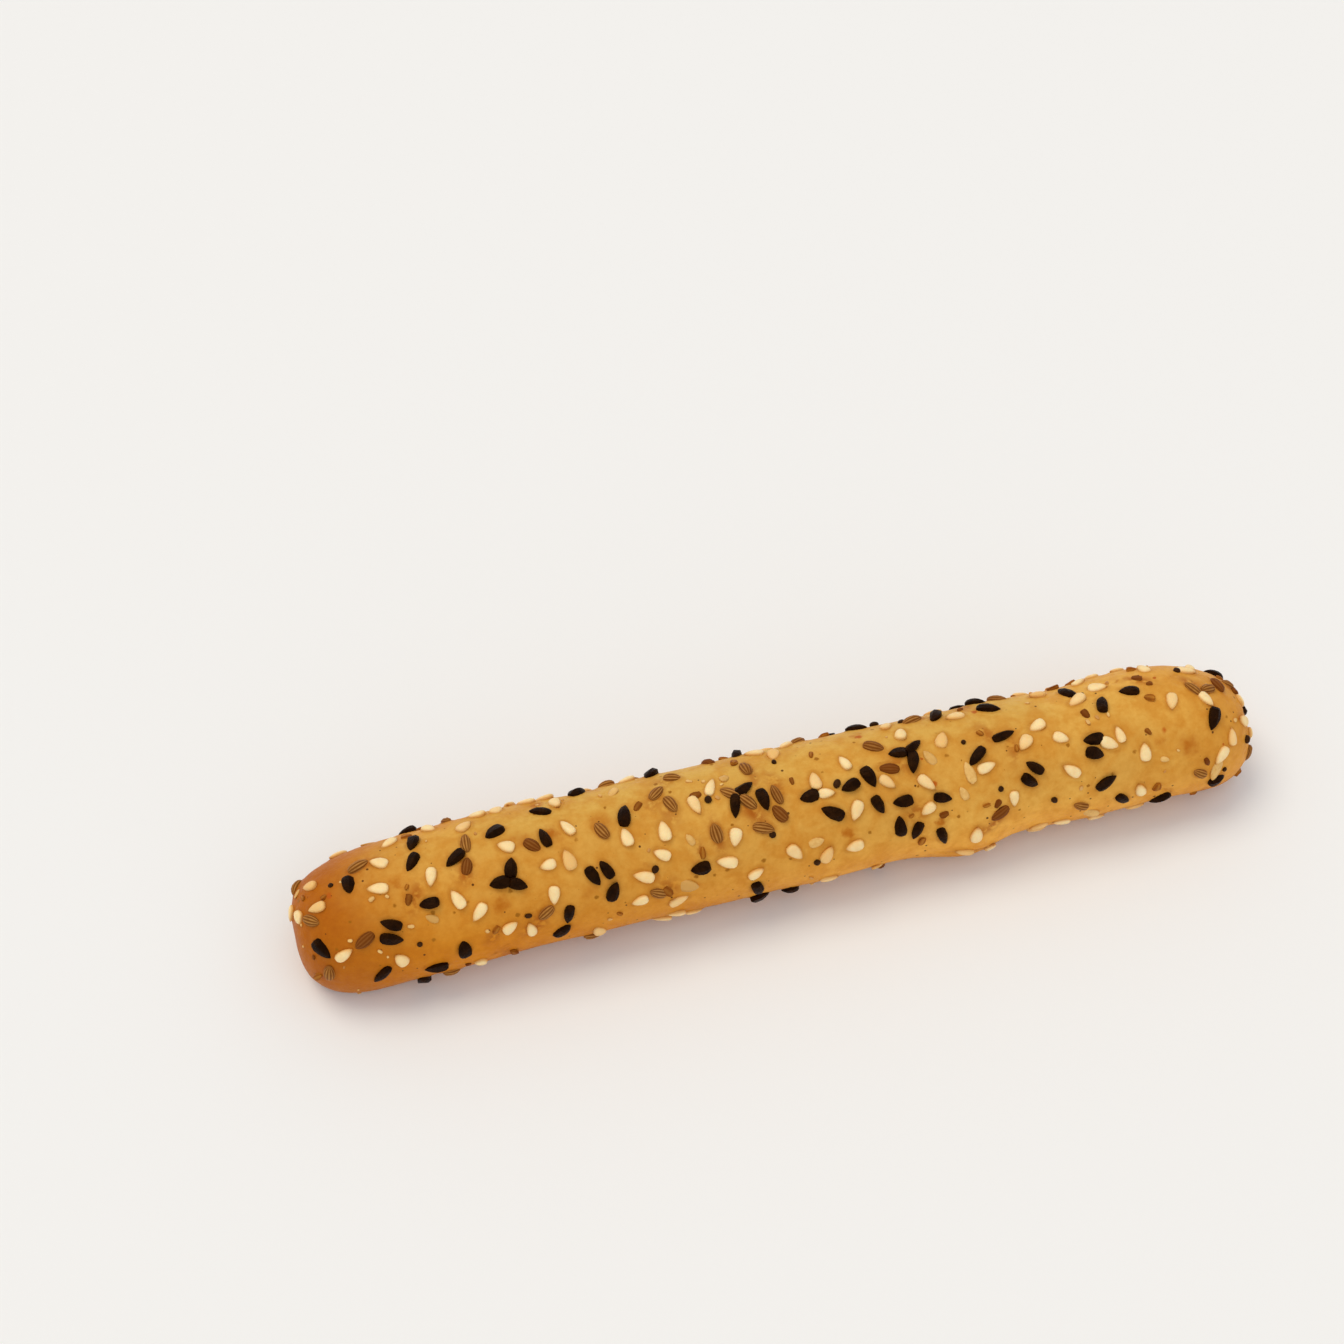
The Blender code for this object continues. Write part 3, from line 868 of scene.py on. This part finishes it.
def makeSeedTree():
    # sets one of the shapes at every point, turned and sized by the point's own values
    tree, given, result = nodeTree(
        "seeds on crust", "GeometryNodeTree",
        [("Geometry", "Geometry"), ("Shapes", "Collection"), ("Fullness", "Float", 1.0), ("Draw", "Int", 1),
         ("Finish", "Material")],
        [("Geometry", "Geometry")],
    )
    rotation = addNode(tree, "FunctionNodeEulerToRotation", Euler=meshValue(tree, "turn", "FLOAT_VECTOR"))
    scale = addNode(tree, "ShaderNodeVectorMath", {"operation": "SCALE"},
                    i0=meshValue(tree, "seedSize", "FLOAT_VECTOR"), Scale=given["Fullness"])
    shapes = addNode(tree, "GeometryNodeCollectionInfo", Collection=given["Shapes"],
                     Separate_Children=True, Reset_Children=True)
    # inputs 4 and 5 are the least and largest draw, and any number well over the count of shapes will do
    pick = addNode(tree, "FunctionNodeRandomValue", {"data_type": "INT"}, Seed=given["Draw"], i4=0, i5=1000)
    tint = addNode(tree, "FunctionNodeRandomValue", {"data_type": "FLOAT"},
                   Seed=math2(tree, "ADD", given["Draw"], 1.0))
    spread = addNode(tree, "GeometryNodeInstanceOnPoints", Points=given["Geometry"],
                     Instance=shapes.outputs[0], Rotation=rotation.outputs[0], Scale=scale.outputs[0],
                     Pick_Instance=True, Instance_Index=pick.outputs[2])
    tinted = addNode(tree, "GeometryNodeStoreNamedAttribute", {"data_type": "FLOAT", "domain": "INSTANCE"},
                     Geometry=spread.outputs[0], Name="tint", Value=tint.outputs[1])
    real = addNode(tree, "GeometryNodeRealizeInstances", Geometry=tinted.outputs[0])
    dressed = addNode(tree, "GeometryNodeSetMaterial", Geometry=real.outputs[0], Material=given["Finish"])
    tree.links.new(dressed.outputs[0], result[0])
    return tree


seedTree = makeSeedTree()


def sowPiece(name, kind, material, draw, fullness):
    # one piece holding all seeds of a kind
    chosen = [seed for seed in seeds + bits if seed["kind"] == kind]
    home = bpy.data.collections.new(kind + "Shapes")
    for number in range(seedShapes[kind]["shapes"]):
        growSeed(kind, number, home)
    mesh = bpy.data.meshes.new(name)
    mesh.from_pydata([tuple(seed["place"]) for seed in chosen], [], [])
    turns = [value for seed in chosen for value in seed["rotation"].to_euler()]
    sizes = [value for seed in chosen for value in seed["size"]]
    mesh.attributes.new("turn", "FLOAT_VECTOR", "POINT").data.foreach_set("vector", turns)
    mesh.attributes.new("seedSize", "FLOAT_VECTOR", "POINT").data.foreach_set("vector", sizes)
    piece = newPiece(name, mesh)
    bed = piece.modifiers.new("seeds", "NODES")
    bed.node_group = seedTree
    setInputs(bed, {"Shapes": home, "Fullness": fullness, "Draw": draw, "Finish": material})
    plainMesh(piece)
    for shape in list(home.objects):
        bpy.data.objects.remove(shape)
    bpy.data.collections.remove(home)
    print(name, "made:", len(chosen), "of them,", len(piece.data.polygons), "faces")
    return piece


plainShine = (1.0, 1.0, 1.0, 1)
sesameLook = {
    "cream": (0.990, 0.738, 0.375, 1),
    "toasted": (0.860, 0.490, 0.150, 1),
    # toasted edge color, also painted shade down the seed's lower flanks
    "edge": (0.780, 0.410, 0.105, 1),
    "tip": (0.560, 0.240, 0.045, 1),
    "milkiness": 0.15,
    "shine": 0.35,
    "shineColor": plainShine,
    "grainSize": 0.00035,
}
huskLook = {
    "straw": (0.820, 0.480, 0.135, 1),
    "toasted": (0.640, 0.320, 0.060, 1),
    "shine": 0.50,
    "shineColor": plainShine,
    "grainSize": 0.00030,
}
nigellaLook = {
    "black": (0.0046, 0.0006, 0.0001, 1),
    "rusty": (0.034, 0.009, 0.0008, 1),
    "shine": 0.12,
    "shineColor": (1.0, 0.52, 0.24, 1),
    "grainSize": 0.00024,
}
grainLook = {
    "black": (0.024, 0.009, 0.003, 1),
    "rusty": (0.080, 0.027, 0.006, 1),
    "shine": 0.14,
    "shineColor": (1.0, 0.55, 0.28, 1),
    "grainSize": 0.00024,
}
aniseLook = {
    # furrow brown, partly painted shade in the grooves
    "furrow": (0.200, 0.064, 0.006, 1),
    "rib": (0.530, 0.235, 0.055, 1),
    "dark": (0.160, 0.034, 0.002, 1),
    "shine": 0.15,
    "shineColor": (1.0, 0.66, 0.30, 1),
    "grainSize": 0.00018,
}
flakeLook = {
    "furrow": (0.340, 0.095, 0.006, 1),
    "rib": (0.480, 0.180, 0.020, 1),
    "dark": (0.130, 0.026, 0.003, 1),
    "shine": 0.15,
    "shineColor": (1.0, 0.66, 0.30, 1),
    "grainSize": 0.00022,
}
crumbLook = {
    "cream": (0.860, 0.540, 0.180, 1),
    "toasted": (0.520, 0.190, 0.025, 1),
    "edge": (0.640, 0.300, 0.055, 1),
    "tip": (0.640, 0.300, 0.055, 1),
    "milkiness": 0.0,
    "shine": 0.35,
    "shineColor": plainShine,
    "grainSize": 0.00020,
}
# Marks of each finish, with clouds as size and strength, and skin as on the crust.
paleMarks = {
    "toastedSeeds": (0.42, 1.05),
    "clouds": (0.0011, 0.30),
    "edge": (0.44, 0.0),
    "tip": (0.34, 0.50),
    "milkReach": (0.0009, 0.0006, 0.0003),
    "skin": (0.2, 0.60, 0.42, 0.6, 0.00003),
}
huskMarks = {"toastedSeeds": (0.2, 1.0), "clouds": (0.0008, 0.70), "skin": (0.6, 0.55, 0.35, 0.6, 0.00006)}
darkMarks = {"clouds": (0.0009, 0.45), "skin": (0.9, 0.62, 0.28, 0.6, 0.00010)}
ribbedMarks = {
    "ribs": (0.15, 0.95),
    "darkSeeds": (0.45, 1.05),
    "darkShare": 0.90,
    "clouds": (0.0010, 0.35),
    "skin": (0.5, 0.66, 0.48, 0.6, 0.00004),
}


def seedFinish(name):
    # a new finish, with the place on the whole object and the place on the seed itself
    made, tree, shader = finish(name)
    place = tree.nodes.new("ShaderNodeTexCoord").outputs["Object"]
    own = ownValue(tree, "seedPlace", "Vector")
    return made, tree, shader, place, addNode(tree, "ShaderNodeSeparateXYZ", Vector=own).outputs


def cloudColor(tree, place, color, browned, marks):
    size, strength = marks["clouds"]
    return placeGroup(tree, mottle, Vector=place, Plain=color, Browned=browned, Patch_Size=size,
                      Amount=strength)["Color"]


def paleFinish(name, look):
    # sesame and pale crumbs: cream, some toasted, browner toward the edge that lies in the crust, partly as
    # toasting and partly as painted shade on the lower flanks
    made, tree, shader, place, own = seedFinish(name)
    toasted = rampMask(tree, ownValue(tree, "tint"), *paleMarks["toastedSeeds"])
    color = blendColor(tree, toasted, look["cream"], look["toasted"])
    color = cloudColor(tree, place, color, look["toasted"], paleMarks)
    # the edge color is toasting and painted shade, darker down the seed's lower flanks
    color = blendColor(tree, rampMask(tree, own["Z"], *paleMarks["edge"]), color, look["edge"])
    color = blendColor(tree, rampMask(tree, own["X"], *paleMarks["tip"]), color, look["tip"])
    closeFinish(tree, shader, color, place, look, paleMarks)
    feed(tree, shader, Subsurface_Weight=look["milkiness"], Subsurface_Radius=paleMarks["milkReach"])
    return made


def huskFinish():
    # empty husks, near the crust's own color and wrinkled
    made, tree, shader, place, _ = seedFinish("sesame husk")
    toasted = rampMask(tree, ownValue(tree, "tint"), *huskMarks["toastedSeeds"])
    color = blendColor(tree, toasted, huskLook["straw"], huskLook["toasted"])
    color = cloudColor(tree, place, color, crustLook["golden"], huskMarks)
    closeFinish(tree, shader, color, place, huskLook, huskMarks)
    return made


def darkFinish(name, look):
    # nigella and dark grains: nearly black, wrinkled, with a rusty bloom in places
    made, tree, shader, place, _ = seedFinish(name)
    color = cloudColor(tree, place, look["black"], look["rusty"], darkMarks)
    closeFinish(tree, shader, color, place, look, darkMarks)
    return made


def ribbedFinish(name, look):
    # anise and brown flakes: dark furrows under paler ribs, some seeds dark all over; on the anise the
    # furrows' darkness is partly their own brown and partly painted shade
    made, tree, shader, place, _ = seedFinish(name)
    ribs = rampMask(tree, ownValue(tree, "rib"), *ribbedMarks["ribs"])
    # the furrow color darkens the grooves partly as painted shade
    color = blendColor(tree, ribs, look["furrow"], look["rib"])
    dark = rampMask(tree, ownValue(tree, "tint"), *ribbedMarks["darkSeeds"])
    color = layColor(tree, color, dark, look["dark"], ribbedMarks["darkShare"])
    color = cloudColor(tree, place, color, look["dark"], ribbedMarks)
    closeFinish(tree, shader, color, place, look, ribbedMarks)
    return made


# Each piece: name, kind, finish, draw of shapes and tints, fullness beside the solid's seeds, slot.
plans = (
    ("sesameSeeds", "sesame", paleFinish("sesame seed", sesameLook), 11, 1.05, "sesame"),
    ("nigellaSeeds", "nigella", darkFinish("nigella seed", nigellaLook), 23, 1.08, "nigella"),
    ("aniseSeeds", "anise", ribbedFinish("anise seed", aniseLook), 37, 1.05, "anise"),
    ("sesameHusks", "husk", huskFinish(), 41, 1.0, "sesame"),
    ("darkGrains", "grain", darkFinish("dark grain", grainLook), 43, 1.0, "nigella"),
    ("brownFlakes", "flake", ribbedFinish("brown flake", flakeLook), 47, 1.0, "anise"),
    ("paleCrumbs", "crumb", paleFinish("pale crumb", crumbLook), 53, 1.0, "crust"),
)
pieces = [(crust, "crust")] + [(sowPiece(*plan), slotName) for *plan, slotName in plans]
for piece, slotName in pieces:
    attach(piece, "root")
    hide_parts("breadstick")
print("pieces ride on the frame")

# Pale floor, soft studio light and a camera at the photograph's angle.
studio = {
    "floorColor": (0.890, 0.875, 0.870, 1),
    "floorRoughness": 0.75,
    "floorSize": 14.0,
    "floorDrop": 0.00002,
    "skyColor": (0.928, 0.967, 1.0, 1),
    "skyStrength": 0.702,
    "horizonColor": (0.896, 0.880, 0.847, 1),
    # lamps: where they shine from, how strongly, and how wide they look in degrees
    "keyFrom": (-0.30, 0.28, 0.90),
    "keyPower": 1.053,
    "keyWidth": 34.0,
    "keyColor": (1.0, 0.892, 0.708),
    "fillFrom": (0.20, -0.85, 0.42),
    "fillPower": 0.389,
    "fillWidth": 70.0,
    "fillColor": (0.926, 0.963, 1.0),
}


def makeFloor():
    bm = bmesh.new()
    bmesh.ops.create_grid(bm, x_segments=1, y_segments=1, size=studio["floorSize"] / 2)
    mesh = bpy.data.meshes.new("floor")
    bm.to_mesh(mesh)
    bm.free()
    made, tree, shader = finish("pale floor")
    feed(tree, shader, Base_Color=studio["floorColor"], Roughness=studio["floorRoughness"])
    mesh.materials.append(made)
    mesh.transform(Matrix.Translation((0, 0, -studio["floorDrop"])))
    floor = newPiece("floor", mesh)


def addLamp(name):
    data = bpy.data.lights.new(name, "SUN")
    data.energy = studio[name + "Power"]
    data.angle = math.radians(studio[name + "Width"])
    data.color = studio[name + "Color"]
    lamp = bpy.data.objects.new(name, data)
    lamp.rotation_euler = Vector(studio[name + "From"]).to_track_quat("Z", "Y").to_euler()
    bpy.context.scene.collection.objects.link(lamp)


def makeSky():
    world = bpy.data.worlds.new("soft daylight")
    world.use_nodes = True
    tree = world.node_tree
    sky = feed(tree, tree.nodes["Background"], Color=studio["skyColor"], Strength=studio["skyStrength"])
    # seen past the far edge of the floor, the background has the floor's lit color
    horizon = addNode(tree, "ShaderNodeBackground", Color=studio["horizonColor"])
    seen = addNode(tree, "ShaderNodeLightPath").outputs["Is Camera Ray"]
    either = addNode(tree, "ShaderNodeMixShader", i0=seen, i1=sky.outputs[0], i2=horizon.outputs[0])
    feed(tree, tree.nodes["World Output"], Surface=either.outputs[0])
    bpy.context.scene.world = world


view = {
    "azimuth": -15.605,
    "elevation": 52.0,
    "fieldOfView": 27.0,
    "aim": (0, 0, 0.0096),
    "distance": 0.40196,
    "across": -0.01558,       # how far the camera stands to the side of the aim, and above it
    "rise": 0.02049,
    "nearest": 0.01,          # nothing closer to the camera is drawn
}


def makeCamera():
    side, lift = math.radians(view["azimuth"]), math.radians(view["elevation"])
    back = Vector((math.sin(side) * math.cos(lift), -math.cos(side) * math.cos(lift), math.sin(lift)))
    right = Vector((math.cos(side), math.sin(side), 0))
    up = back.cross(right)
    data = bpy.data.cameras.new("camera")
    data.lens = data.sensor_width / 2 / math.tan(math.radians(view["fieldOfView"] / 2))
    data.clip_start = view["nearest"]
    camera = bpy.data.objects.new("camera", data)
    camera.matrix_world = Matrix((right, up, back)).transposed().to_4x4()
    offset = view["across"] * right + view["rise"] * up + view["distance"] * back
    camera.location = Vector(view["aim"]) + offset
    bpy.context.scene.collection.objects.link(camera)
    bpy.context.scene.camera = camera


makeFloor()
makeSky()
addLamp("key")
addLamp("fill")
makeCamera()
bpy.context.scene.view_settings.view_transform = "Standard"
print("studio made")

bpy.context.view_layer.update()
